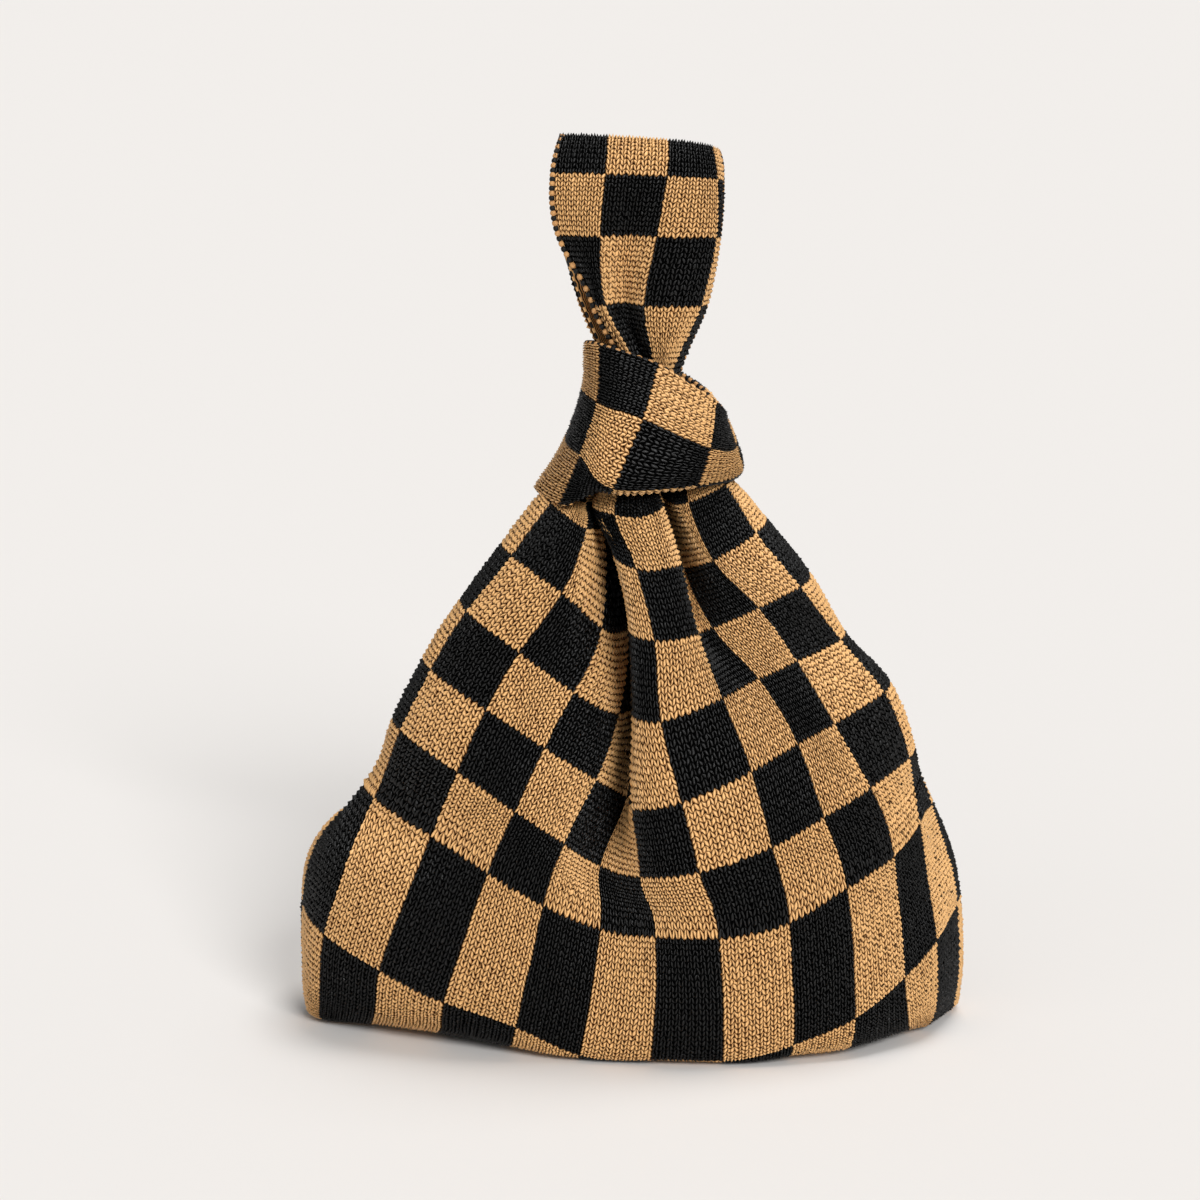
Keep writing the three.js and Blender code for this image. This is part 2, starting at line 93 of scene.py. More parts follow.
# %% Curves for whole arrays at once
def smooth(knots, values, t):
    """The curve through `values` at `knots`, read at `t`. Each may be an array of any shape;
    the last axis of knots and values runs along the curve."""
    t = np.asarray(t, float)
    n = np.shape(knots)[-1]
    knots = np.broadcast_to(knots, t.shape + (n,)).astype(float)
    values = np.broadcast_to(values, t.shape + (n,)).astype(float)
    step = np.diff(knots)
    rise = np.diff(values) / step
    slope = np.empty_like(values)
    slope[..., 0] = rise[..., 0]
    slope[..., -1] = rise[..., -1]
    both = step[..., :-1] + step[..., 1:]
    slope[..., 1:-1] = (rise[..., :-1] * step[..., 1:] + rise[..., 1:] * step[..., :-1]) / both
    i = (t[..., None] > knots[..., 1:-1]).sum(-1)[..., None]

    def take(array, at):
        return np.take_along_axis(array, at, -1)[..., 0]

    span = take(step, i)
    a = (t - take(knots, i)) / span
    start = (2 * a**3 - 3 * a**2 + 1) * take(values, i)
    start += (a**3 - 2 * a**2 + a) * take(slope, i) * span
    end = (3 * a**2 - 2 * a**3) * take(values, i + 1)
    end += (a**3 - a**2) * take(slope, i + 1) * span
    return start + end


# %% [markdown]
# ## How the pouch hangs
#
# Knitting gives its own ruler. The pouch is 24 checks round, and its rows of checks are
# counted from the sole up. Each row line of the checks sinks in the middle of the front and
# is drawn up at the two sides, and the cloth is thrown into folds that run up to the
# mouth. So the tables hold, for each row line, its heights and how far the cloth swells,
# and for each fold, where it runs and how deep it lies.
#
# Every list below has one number for each row line in ROWS. ROW_LINES gives the height of the
# line where it is lowest ("middle") and at the two sides ("left", "right"), the x where it is
# lowest ("low"), how round it is there on its way to each side ("soft"), the y of the side
# seams ("seam"), and how far the cloth swells before and behind them ("front", "back"). A fold is
# a line that runs up the cloth: "check" says which column of checks it follows, "x" where it
# hangs, "inset" how deep it lies behind the swell of the cloth (or "y" itself, at the sides),
# "drop" how far the row lines dip at a side, and "lift" how far each row line is drawn up or
# down where it crosses the fold.
#
# The front folds are deeper here than in the frame's solids, the deep one by up to 20 mm, so
# that they fall into the dark that the photograph shows.
#
# Not all of these numbers were chosen by hand. A separate program fitted every "lift" to the
# corners of the checks in the photograph, and the values for row lines 0.5 and 1.6 were
# interpolated by one before some of them were set by hand.

# %% Tables of the pouch
CHECKS_ROUND = 24
LEFT_SIDE = -6.4
RIGHT_SIDE = 6.3
ROWS = np.array([0, 0.5, 1, 1.6, 2, 3, 4, 5, 6, 7, 8, 9])
NO_INSET = [0] * len(ROWS)
ROW_LINES = {
    "middle": [0, 0, 2, 28.5, 50, 76, 102, 134, 163, 188, 206, 222],
    "left": [0, 17, 46, 82, 102, 126, 148, 169, 191, 208, 217, 222],
    "right": [0, 17, 46, 74.5, 90, 117, 140, 161, 180, 199, 211, 222],
    "low": [10, 18, 24, 27, 24, -4, 2, 8, 10, 8, 4, 0],
    "soft_left": [0.9, 0.9, 0.55, 0.4, 0.35, 0.12, 0.1, 0.15, 0.3, 0.2, 0.3, 0.4],
    "soft_right": [0.9, 0.9, 0.8, 0.73, 0.7, 0.6, 0.3, 0.12, 0.3, 0.3, 0.3, 0.4],
    "front": [50, 66, 70, 70, 69, 66, 61, 56, 50, 42, 31, 22],
    "back": [36, 51, 60, 65, 66, 66, 63, 58, 52, 44, 34, 24],
    "seam": [4, 4, 4, 2.93, 2, 0, 0, 0, 0, 0, 0, 0],
}
FRONT_FOLDS = [
    {
        "fold": "left side",
        "check": [LEFT_SIDE] * len(ROWS),
        "x": [-126, -129, -130, -121, -101.5, -83, -71, -56, -42, -29, -20, -15],
        "y": [5, 5.7, 6, 8, 10, 22, 24, 24, 22, 20, 14, 10],
        "drop": [0, 0, 0, 9, 10, 8, 4, 0, 0, 0, 0, 0],
        "lift": [0, -0.1, -0.2, -2.5, -4, -1, 0.4, 1.4, 1, 2.8, -1.6, 0],
    },
    {
        "fold": "left crease",
        "check": [-5, -5.25, -5.45, -5.4, -5.3, -5.45, -5.5, -5.5, -5.5, -5.45, -5.45, -5.45],
        "x": [-122.5, -124.5, -125, -114.5, -103, -92, -80.5, -65.5, -49, -34, -24, -18],
        "inset": NO_INSET,
        "lift": [0, -0.2, -0.3, -4.1, -6.6, -1.6, 0.6, 2.4, 1.6, 4.7, -2.6, 0],
    },
    {
        "fold": "left panel",
        "check": [-3.6, -3.6, -3.6, -3.6, -3.6, -3.5, -3.5, -3.5, -3.7, -4, -4, -4],
        "x": [-92, -89, -87, -75.5, -67, -54, -43, -31.5, -20.5, -16.5, -16.5, -13.5],
        "inset": [14, 12, 7, 3, 2, 0, 0, 0, 0, 0, 0, 0],
        "lift": [0, -1.6, -3.2, -2.1, -1.4, 3.6, 4.3, -0.1, 1.5, 4.7, -2.6, 0],
    },
    {
        "fold": "lip of the deep fold",
        "check": [-2, -2, -2, -2, -2, -2, -2.1, -2.4, -3, -3.5, -3.6, -3.6],
        "x": [-50, -46, -44, -37.5, -33, -24.5, -14, -9.5, -10, -13, -14, -11],
        "inset": [12, 11, 7, 5, 4, 6, 11, 16, 18, 15, 8, 4],
        "lift": [0, -0.6, -1.2, -2.6, -3.5, 2.1, 1.7, -6, -5.4, 4.2, -2.6, 0],
    },
    {
        "fold": "deep fold",
        "check": [-1, -1, -1, -1, -1, -1, -0.95, -0.9, -1.1, -1.4, -1.4, -1.4],
        "x": [-24, -21, -19.5, -14.5, -11.5, -11.5, -1, 4, 3, -3, -8, -7],
        "inset": [9, 8, 7, 8, 12, 21, 33, 41, 43, 37, 23, 10],
        "lift": [0, -2.2, -4.3, -5, -5.4, -3.6, -5.7, -5.1, -2.1, 1.8, -2.6, 0],
    },
    {
        "fold": "left edge of the pleat",
        "check": [0.5, 0.5, 0.5, 0.5, 0.5, 0.35, 0.15, 0.5, 0.55, 0.6, 0.65, 0.65],
        "x": [16, 19, 21, 21.5, 20, 9, 1.5, 1.5, 0.7, -5, -12.5, -6],
        "inset": [4, 3, 2, 0, 0, 0, -1, -2, -3, -3, -3, -2],
        "lift": [0, -0.3, -0.6, 0.9, 1.9, -1.4, -1.1, -0.3, 0.9, -0.4, -2.6, 0],
    },
    {
        "fold": "right edge of the pleat",
        "check": [2, 2, 2, 2, 2, 2, 2, 1.85, 1.9, 2, 2, 2],
        "x": [56, 60, 62, 61.5, 60, 53, 45, 32, 26, 19, 12.5, 7.5],
        "inset": [0, 0, 0, 0, 0, 0, 0, -1, -2, -3, -3, -2],
        "lift": [0, -1.2, -2.5, -2.2, -1.9, -3, 0.8, 0.2, 0.4, 1.3, 4.9, 0],
    },
    {
        "fold": "right fold",
        "check": [3, 3, 3, 3, 3, 3, 3, 2.7, 2.55, 2.5, 2.5, 2.5],
        "x": [82, 84.5, 86, 84.5, 82, 73, 63, 43.5, 26, 17.5, 10, 7.5],
        "inset": [-2, -2, -1, 0, 0, 0, 1, 2, 8, 18, 22, 9],
        "lift": [0, -3, -6, -3.6, -2, -2.1, 1.9, 0.9, -1.2, -3.7, 4.2, 0],
    },
    {
        "fold": "right panel",
        "check": [4, 4, 4, 4, 4, 4, 4, 4, 4, 4, 3.6, 3.2],
        "x": [109.5, 107.5, 106, 103.5, 101, 91, 77, 63, 48, 31, 17, 14.5],
        "inset": [4, 2, 0, 0, 0, 0, 0, 0, 0, 1, 5, 3],
        "lift": [0, -3.1, -6.2, -5.6, -5.1, -2.4, 1.4, 0.5, 1.4, -1.5, 2.6, 0],
    },
    {
        "fold": "right crease",
        "check": [5.4, 5.4, 5.4, 5.35, 5.28, 5.27, 5.34, 5.28, 5.5, 5.45, 5.3, 5.2],
        "x": [119, 123, 122, 117, 113.5, 110, 100.5, 83, 69.5, 52, 38, 24],
        "inset": [6, 3, 0, 0, 0, 0, 0, 0, 0, 0, 0, 0],
        "lift": [0, -1.2, -2.4, -2.2, -2.1, -5.9, -1.9, -3.3, 0.4, 2.3, 5.8, 0],
    },
    {
        "fold": "right side",
        "check": [6.3, 6.5, 6.7, 6.8, 6.7, 6.4, 6.3, 6.3, 6.3, 6.3, 6.3, 6.3],
        "x": [132, 132, 129, 121.5, 117.5, 104.5, 91, 75, 66, 50, 35, 21],
        "y": [8, 8, 8, 10, 12, 20, 22, 22, 22, 22, 16, 11],
        "drop": [0, 0, 0, 4, 6, 4, 0, 0, 0, 0, 0, 0],
        "lift": [0, -0.7, -1.4, -1.3, -1.3, -3.5, -1.1, -2, 0.2, 1.4, 3.5, 0],
    },
]
BACK_FOLDS = [
    # the check it follows, how far across the back it hangs (-1 to 1), and its inset
    (8.1, 0.66, [0, 0, 0, -0.14, 0, 2, 4, 6, 7, 6, 3, 1]),
    (9.6, 0.4, NO_INSET),
    (11, 0.1, [0, 0, 0, 0.93, 2, 6, 12, 16, 17, 12, 5, 2]),
    (12.5, -0.2, NO_INSET),
    (14.1, -0.48, [0, 0, 0, 0.39, 1, 4, 8, 12, 13, 9, 4, 1]),
    (15.8, -0.76, NO_INSET),
]
print("folds in front:", len(FRONT_FOLDS), "and behind:", len(BACK_FOLDS))

# %% [markdown]
# Seen from above, the front and the back of the pouch are flattened ovals, wider than they are
# deep, between two side seams. The folds lie in or out of that oval. To place a stitch, the
# folds at its height are joined by one smooth curve round the bag, and the stitch is found
# on that curve by its check. Its height comes from a rounded V: straight on both sides, soft at
# the lowest place, and dipping once more at each side, where the cloth is pushed in.


# %% From a stitch's place in the knitting to its place in space
OVAL_POWER = 2.4
OVAL_ROUNDING = 0.458
SIDE_MARGIN = 1.5
BACK_SPREAD = 1.02
SIDE_RISE_LIMIT = 1.08
DROP_IN_FRONT = 0.9
DROP_BEHIND = 2.2


def at_row(row, values):
    return smooth(ROWS, values, row)


def swell(x, left, right, depth):
    """How far the oval stands out at x, in the front."""
    u = np.minimum(1, np.abs((x - (left + right) / 2) / ((right - left) / 2)))
    return depth * (1 - u**OVAL_POWER) ** OVAL_ROUNDING


def fold_places(row):
    """The check number, x, y and lift of every fold at each row."""
    line = {name: at_row(row, values) for name, values in ROW_LINES.items()}
    xs = [at_row(row, fold["x"]) for fold in FRONT_FOLDS]
    left = np.minimum(xs[0], xs[1]) - SIDE_MARGIN
    right = np.maximum(xs[-1], xs[-2]) + SIDE_MARGIN
    checks = [at_row(row, fold["check"]) for fold in FRONT_FOLDS]
    ys = []
    for fold, x in zip(FRONT_FOLDS, xs):
        if "y" in fold:
            ys.append(at_row(row, fold["y"]))
        else:
            inset = at_row(row, fold["inset"])
            ys.append(line["seam"] - swell(x, left, right, line["front"]) + inset)
    lifts = [at_row(row, fold["lift"]) for fold in FRONT_FOLDS]
    middle, half = (xs[0] + xs[-1]) / 2, (xs[-1] - xs[0]) / 2
    side = (ys[0] + ys[-1]) / 2
    reach = line["back"] + line["seam"] - side
    for check, across, inset in BACK_FOLDS:
        checks.append(np.full_like(middle, check))
        xs.append(middle + across * half * BACK_SPREAD)
        bow = math.sqrt(1 - abs(across) ** OVAL_POWER)
        ys.append(side + reach * bow - at_row(row, inset))
        lifts.append(np.zeros_like(middle))
    return line, np.stack(checks, -1), np.stack(xs, -1), np.stack(ys, -1), np.stack(lifts, -1)


def pouch_point(check, row):
    """Where the outer face of the pouch lies, in millimetres, for arrays of check and row."""
    row = np.maximum(np.asarray(row, float), 0)
    check = LEFT_SIDE + (np.asarray(check, float) - LEFT_SIDE) % CHECKS_ROUND
    line, knots, xs, ys, lifts = fold_places(row)

    def around(values, turn):
        return np.concatenate([values[..., -2:] - turn, values, values[..., :2] + turn], -1)

    knots = around(knots, CHECKS_ROUND)
    x = smooth(knots, around(xs, 0), check)
    y = smooth(knots, around(ys, 0), check)
    crease = [at_row(row, FRONT_FOLDS[i]["x"]) for i in (1, -2)]
    to_left = x < line["low"]
    reach_left = (line["low"] - x) / (line["low"] - crease[0])
    reach_right = (x - line["low"]) / (crease[1] - line["low"])
    soft = np.where(to_left, line["soft_left"], line["soft_right"])
    rise = np.where(to_left, line["left"], line["right"]) - line["middle"]
    t = np.minimum(np.where(to_left, reach_left, reach_right), SIDE_RISE_LIMIT)
    z = line["middle"] + rise * (np.hypot(t, soft) - soft) / (np.hypot(1, soft) - soft)
    for fold, side in ((FRONT_FOLDS[0], LEFT_SIDE), (FRONT_FOLDS[-1], RIGHT_SIDE)):
        away = check - side
        if side < 0:
            away = np.where(check > CHECKS_ROUND / 2, away - CHECKS_ROUND, away)
        width = np.where(away * np.sign(side) < 0, DROP_IN_FRONT, DROP_BEHIND)
        z -= at_row(row, fold["drop"]) * np.maximum(0, 1 - np.abs(away) / width)
    z += smooth(knots, around(lifts, 0), check)
    return np.stack([x, y, np.maximum(z, 0)], -1)


print("the middle of row 4 hangs at", pouch_point(np.array([0.5]), np.array([4.0])).round(1))

# %% [markdown]
# ## The cloth's smooth face
#
# A stitch needs three things: the place where it lies, the way that the cloth faces there, and
# its own relief. The first two change slowly, so the smooth face of each cloth is worked out
# once on an even net, and every stitch reads its place and its facing between the four
# nearest points of that net. A face can also be moved out by a little, which is how a cloth
# gets its thickness or a few shallow dents.

# %% A smooth face that stitches can be laid on
TINY = 1e-12
JUST_INSIDE = 1e-6


def unit(vectors):
    return vectors / (np.linalg.norm(vectors, axis=-1, keepdims=True) + TINY)


class Face:
    """`place` gives points in millimetres for (across, along), both counted in stitches."""

    def __init__(self, place, across, along, steps):
        self.low = np.array([across[0], along[0]], float)
        spans = np.array([across[1] - across[0], along[1] - along[0]])
        self.step = spans / np.array(steps)
        u = self.low[0] + self.step[0] * np.arange(steps[0] + 1)
        v = self.low[1] + self.step[1] * np.arange(steps[1] + 1)
        self.net = np.meshgrid(u, v, indexing="ij")
        self.points = place(*self.net)
        self.find_normals()

    def find_normals(self):
        side = np.gradient(self.points, axis=0)
        rise = np.gradient(self.points, axis=1)
        self.normals = unit(np.cross(side, rise))

    def move_out(self, distance):
        """Moves the face outwards, by one distance or by one for each point of the net."""
        self.points = self.points + self.normals * np.asarray(distance)[..., None]
        self.find_normals()

    def at(self, u, v):
        """The places of stitches and the way that the cloth faces at each."""
        size = np.array(self.points.shape[:2]) - 1
        a = np.clip((u - self.low[0]) / self.step[0], 0, size[0] - JUST_INSIDE)
        b = np.clip((v - self.low[1]) / self.step[1], 0, size[1] - JUST_INSIDE)
        i, j = a.astype(int), b.astype(int)
        a, b = (a - i)[:, None], (b - j)[:, None]

        def between(net):
            near = net[i, j] * (1 - a) + net[i + 1, j] * a
            far = net[i, j + 1] * (1 - a) + net[i + 1, j + 1] * a
            return near * (1 - b) + far * b

        return between(self.points), unit(between(self.normals))


# %% [markdown]
# ## A stitch in relief
#
# Stocking stitch is columns of V shapes. Each V has two plump legs of yarn, with a groove between
# neighbouring columns and one between the legs, and a dark hole wherever the ends of legs meet.
# Four faces across a stitch and two along it are the fewest that show this: low, high, low,
# high across, and a gap and a crest along. The rows of faces are bent into the same V, so
# that light runs along the legs. Knitting is never quite even, so each corner slips by a
# little chance amount. Close to the ground the weight of the bag presses the relief flat.
#
# Two UV maps stay on the cloth. "stitches" holds the numbers of the wale (column) and course
# (row) of a stitch, and "checks" the numbers of its check.

# %% Relief of the knitting
FACES_ACROSS = 4
FACES_ALONG = 2
STITCH_POINT = 0.5
RELIEF_ACROSS = np.array([0.0, 1.0, 0.1, 1.0])
RELIEF_ALONG = np.array([0.4, 1.0])
RELIEF_LOW = -1.15 * MM
RELIEF_HIGH = 0.1 * MM
PRESSED_UNDER = 3
UNEVEN = 0.07
chance = np.random.default_rng(7)


def add_grid(name, across, along):
    """A flat grid, and where each of its vertices lies in it, from 0 to 1."""
    bpy.ops.mesh.primitive_grid_add(x_subdivisions=across, y_subdivisions=along, size=1)
    cloth = bpy.context.object
    cloth.name = cloth.data.name = name
    flat = np.empty(len(cloth.data.vertices) * 3)
    cloth.data.vertices.foreach_get("co", flat)
    return cloth, flat.reshape(-1, 3) + 0.5


def put_vertices(cloth, places, lowest):
    """Moves the vertices to their places, and any that lie lower than `lowest` up to it."""
    places[:, 2] = np.maximum(places[:, 2], lowest)
    cloth.data.vertices.foreach_set("co", places.ravel())


def put_uv(piece, layer, u, v):
    """Writes one pair of numbers for each vertex as a UV map."""
    data = piece.data
    uv = data.uv_layers.get(layer) or data.uv_layers.new(name=layer)
    corner = np.empty(len(data.loops), int)
    data.loops.foreach_get("vertex_index", corner)
    uv.data.foreach_set("uv", np.stack([u[corner], v[corner]], -1).ravel())


def lay_knit(name, face, wales, courses, point, checks, lowest=0):
    """Knits a cloth: a flat grid, one square for each stitch, then laid on its face.
    wales and courses are (first, last), point is the way that each V points along the courses,
    and checks turns wales and courses into numbers of checks."""
    count = (wales[1] - wales[0], courses[1] - courses[0])
    cloth, flat = add_grid(name, count[0] * FACES_ACROSS, count[1] * FACES_ALONG)
    across = np.rint(flat[:, 0] * count[0] * FACES_ACROSS).astype(int)
    along = np.rint(flat[:, 1] * count[1] * FACES_ALONG).astype(int)
    u = wales[0] + across / FACES_ACROSS
    v = courses[0] + along / FACES_ALONG
    lean = STITCH_POINT * (np.abs(2 * (across % FACES_ACROSS) / FACES_ACROSS - 1) - 0.5)
    inner = (across > 0) & (across < count[0] * FACES_ACROSS)
    slip = chance.normal(0, UNEVEN, (3, len(u))) * inner
    points, normals = face.at(u + slip[0], v - point * lean + slip[1])
    rise = RELIEF_ACROSS[across % FACES_ACROSS] * RELIEF_ALONG[along % FACES_ALONG]
    rise *= 1 + 2 * slip[2]
    rise *= np.clip(points[:, 2] / PRESSED_UNDER, 0, 1)
    height = RELIEF_LOW + (RELIEF_HIGH - RELIEF_LOW) * rise
    put_vertices(cloth, points * MM + normals * height[:, None], lowest)
    put_uv(cloth, "stitches", u, point * v)
    put_uv(cloth, "checks", *checks(u, v))
    cloth.data.shade_smooth()
    cloth.data.update()
    triangles = len(cloth.data.polygons) * 2
    print(name, "has", count[0] * count[1], "stitches and", triangles, "triangles")
    return cloth


# %% [markdown]
# ## The wrong side
#
# Behind the relief the cloth has a ground of its own, which gives it its thickness, closes
# every edge and shows its wrong side. There the unused yarn is carried across at each stitch,
# so it is a fine birdseye of both yarns, with no checks. It is a coarser grid on the same face,
# a little further in, and Solidify gives it its thickness inwards. Vertices that lie in one
# place are merged first, because they would give the thick cloth walls of no width.

# %% A ground cloth under the stitches
GROUND_DEPTH = 1.6 * MM
GROUND_THICKNESS = 1.1 * MM
MERGE_UNDER = 0.01 * MM


def lay_ground(name, face, wales, courses, steps, lowest=0, lines=1):
    """Lays the ground of a cloth; `lines` is how many lines of birdseye go with each wale."""
    cloth, flat = add_grid(name, *steps)
    u = wales[0] + (wales[1] - wales[0]) * flat[:, 0]
    v = courses[0] + (courses[1] - courses[0]) * flat[:, 1]
    points, normals = face.at(u, v)
    put_vertices(cloth, points * MM - normals * GROUND_DEPTH, lowest)
    put_uv(cloth, "stitches", u * lines, v)
    bpy.ops.object.mode_set(mode="EDIT")
    bpy.ops.mesh.select_all(action="SELECT")
    bpy.ops.mesh.remove_doubles(threshold=MERGE_UNDER)
    bpy.ops.object.mode_set(mode="OBJECT")
    wall = cloth.modifiers.new("thickness", "SOLIDIFY")
    wall.thickness = GROUND_THICKNESS
    wall.offset = -1
    bpy.ops.object.modifier_apply(modifier=wall.name)
    cloth.data.shade_smooth()
    print(name, "has", len(cloth.data.polygons), "faces")
    return cloth


# %% [markdown]
# ## The pouch
#
# The pouch is knitted in the round, so its face runs all the way round, 240 stitches. Its first
# two rows of checks are knitted longer than the others, which the list of courses says.
#
# Below row line 0 the cloth goes on along the surface that the bag stands on, to a seam under
# its middle, and where it comes down to that surface it is rounded in a little, as soft
# cloth is under its own weight.

# %% The face of the pouch
WALES_PER_CHECK = 10
COURSES_PER_CHECK = 12
SOLE_ROWS = 1.25
SOLE_SHORTER = 0.1
SEAM_Y = 4
FOOT_ROUNDING = 4
FOOT_HALF = 130
ROW_COURSES = [-9, 0, 22, 46, 58, 70, 82, 94, 106, 118, 130]
ROUND_THE_POUCH = (-99, 141)
UP_THE_POUCH = (ROW_COURSES[0], ROW_COURSES[-1])


def pouch_checks(u, v):
    return u / WALES_PER_CHECK, np.interp(v, ROW_COURSES, [-SOLE_ROWS] + list(range(10)))


def place_on_pouch(u, v):
    row = pouch_checks(u, v)[1]
    points = pouch_point(u / WALES_PER_CHECK, row)
    # the sole runs in to its seam
    drawn_in = np.clip(row / SOLE_ROWS + 1, 0, 1)
    points[..., 1] = SEAM_Y + (points[..., 1] - SEAM_Y) * drawn_in
    points[..., 0] *= (1 - SOLE_SHORTER) + SOLE_SHORTER * drawn_in
    # the foot is rounded; x counts only near the two ends of the bag, hence its fifth power
    near_floor = np.clip(1 - points[..., 2] / FOOT_ROUNDING, 0, 1)
    inwards = FOOT_ROUNDING * (1 - np.sqrt(1 - near_floor**2))
    endwards = FOOT_HALF * (points[..., 0] / FOOT_HALF) ** 5
    outwards = np.stack([endwards, points[..., 1] - SEAM_Y], -1)
    outwards /= np.linalg.norm(outwards, axis=-1, keepdims=True) + 1
    points[..., :2] -= inwards[..., None] * outwards
    return points


pouch_face = Face(place_on_pouch, ROUND_THE_POUCH, UP_THE_POUCH, (480, 278))
print("the pouch's face spans", np.ptp(pouch_face.points, axis=(0, 1)).round(1), "mm")

# %% [markdown]
# Soft cloth is never quite smooth. A few sine waves that bend each other give shallow dents
# about a check apart, with no pattern that the eye can find. They fade out at the foot, where
# the bag stands, and under the knot, where the cloth is drawn tight.

# %% Shallow dents
DENTS_ACROSS = 0.45
DENTS_SLANTED = 0.35


def soft_dents(u, v):
    """How far the cloth swells or sinks at each stitch, in millimetres."""
    row = pouch_checks(u, v)[1]
    across = np.sin(u / 3.3 + 1.4 * np.sin(v / 9.1)) * np.sin(v / 4.9 + 1.1 * np.sin(u / 11.3))
    slanted = np.sin(u / 5.7 - v / 7.3 + 2 * np.sin(u / 23))
    free = np.clip(row / 0.6, 0, 1) * np.clip((8.4 - row) / 1.5, 0, 1)
    return (DENTS_ACROSS * across + DENTS_SLANTED * slanted) * free


dents = soft_dents(*pouch_face.net)
pouch_face.move_out(dents)
print("the dents are", dents.min().round(2), "to", dents.max().round(2), "mm deep")

# %% [markdown]
# The relief is made in three pieces, because one would be too many faces. They meet in the
# grooves between columns of stitches, where joins are hard to see. The stitches stay a
# hair above the floor, and the ground cloth under them higher still.

# %% Knit the pouch
ABOVE_FLOOR = 0.4 * MM
PANELS = {"pouch_left": (-99, -10), "pouch_right": (-10, 79), "pouch_back": (79, 141)}
pouch_panels = [
    lay_knit(name, pouch_face, wales, UP_THE_POUCH, 1, pouch_checks, ABOVE_FLOOR)
    for name, wales in PANELS.items()
]
pouch_ground = lay_ground(
    "pouch_ground", pouch_face, ROUND_THE_POUCH, UP_THE_POUCH, (240, 139), GROUND_DEPTH
)

# %% [markdown]
# ## The long handle
#
# The long handle is one strap. It comes up out of the knot folded small, opens out as it
# rises, bends over the top, where a hand would carry it, and goes down behind in the same way.
# Each list has a number for each row line of its checks: the height ("z") and how far the row
# sags towards its right edge ("fall"), then from left to right the x of the left edge, of the
# lines between the checks and of the right edge, and the y of the left edge, of the flat
# between ("face"), of the fold along it ("groove") and of the right edge.
#
# A check is 9 stitches wide here, one fewer than on the pouch. The pull of the knot has drawn
# the cloth narrow, so its wrong side shows fewer lines of birdseye.

# %% Tables of the long handle
HANDLE_TOP = 6
HANDLE_ROWS = np.array([4.9, 4, 3, 2, 1, 0.5, 0, -1, -2, -3, -4])
HANDLE = {
    "z": [222.5, 257, 284, 310, 333, 346, 333, 309, 284, 257, 222.5],
    "fall": [0, 0, 1, 1, 3, 6, 3, 1, 0, 0, 0],
    "x0": [-5, 0.2, -11.8, -26.5, -29.5, -27, -29.5, -27.5, -20, -10.5, -13],
    "x1": [-3, 1.5, -10, -11.6, -9.7, -8.6, -9, -10, -14, -6, -9],
    "x2": [2, 9, 5.3, 9.7, 13.4, 14, 13, 9, 3, -1.5, -3],
    "x3": [10, 15, 26, 31.5, 32, 30.5, 32, 27, 16, 4.5, 4],
    "x4": [13.5, 18.5, 28.5, 33, 34, 32.7, 34.5, 30, 20, 8.5, 8.5],
    "edge0": [-17, -8.6, -9.3, -11, -11, 0, 12, 12, 11, 9, 15],
    "face": [-19, -11, -13, -14.5, -13, 0, 13, 15, 17, 15, 21],
    "groove": [-18.5, -6, -3.5, -8.5, -13, 0, 13, 14.5, 16, 14.5, 20.5],
    "edge4": [-13, -2, -2, -6, -8, 0, 11, 12, 12, 9, 15],
}
HANDLE_LINES = np.array([0, 1, 1.5, 2, 3, 3.45])
HANDLE_HALF_THICKNESS = 1.3
HANDLE_GROUND_LINES = 0.7
HANDLE_WALES_PER_CHECK = 9
HANDLE_ROW_COURSES = [0, 13, 26, 39, 52, 72, 85, 98, 111, 124]
HANDLE_WALES = (0, 31)
HANDLE_COURSES = (1, 124)


def handle_checks(u, v):
    return u / HANDLE_WALES_PER_CHECK, np.interp(v, HANDLE_ROW_COURSES, range(1, 11))


def place_on_handle(u, v):
    """The middle of the strap's thickness. Courses are counted from the foot of the near leg."""
    line, row = handle_checks(u, v)
    row = np.clip(HANDLE_TOP - row, HANDLE_ROWS[-1], HANDLE_ROWS[0])
    places = np.arange(len(HANDLE_ROWS))
    step = np.interp(-row, -HANDLE_ROWS, places)
    at = {name: smooth(places, values, step) for name, values in HANDLE.items()}
    middle, turn = (at["x1"] + at["x2"]) / 2, (2 * at["face"] + at["edge4"]) / 3
    xs = np.stack([at["x0"], at["x1"], middle, at["x2"], at["x3"], at["x4"]], -1)
    ys = np.stack([at["edge0"], at["face"], at["groove"], at["face"], turn, at["edge4"]], -1)
    x, y = smooth(HANDLE_LINES, xs, line), smooth(HANDLE_LINES, ys, line)
    return np.stack([x, y, at["z"] - at["fall"] * line * line / 12], -1)


handle_face = Face(place_on_handle, HANDLE_WALES, HANDLE_COURSES, (62, 369))
handle_face.move_out(HANDLE_HALF_THICKNESS)
handle_knit = lay_knit(
    "long_handle_knit", handle_face, HANDLE_WALES, HANDLE_COURSES, -1, handle_checks
)
handle_ground = lay_ground(
    "long_handle_ground",
    handle_face,
    HANDLE_WALES,
    HANDLE_COURSES,
    (31, 123),
    lines=HANDLE_GROUND_LINES,
)

# %% [markdown]
# ## The short handle
#
# The short handle is a band, three checks wide, whose stitches run round the knot, so its V
# shapes lie on their sides. It leans: high at the left, low at the right, and its lower edge is
# turned under. Eight directions round the knot are enough to say where its upper edge, the
# lines between its checks and its lower edge lie.

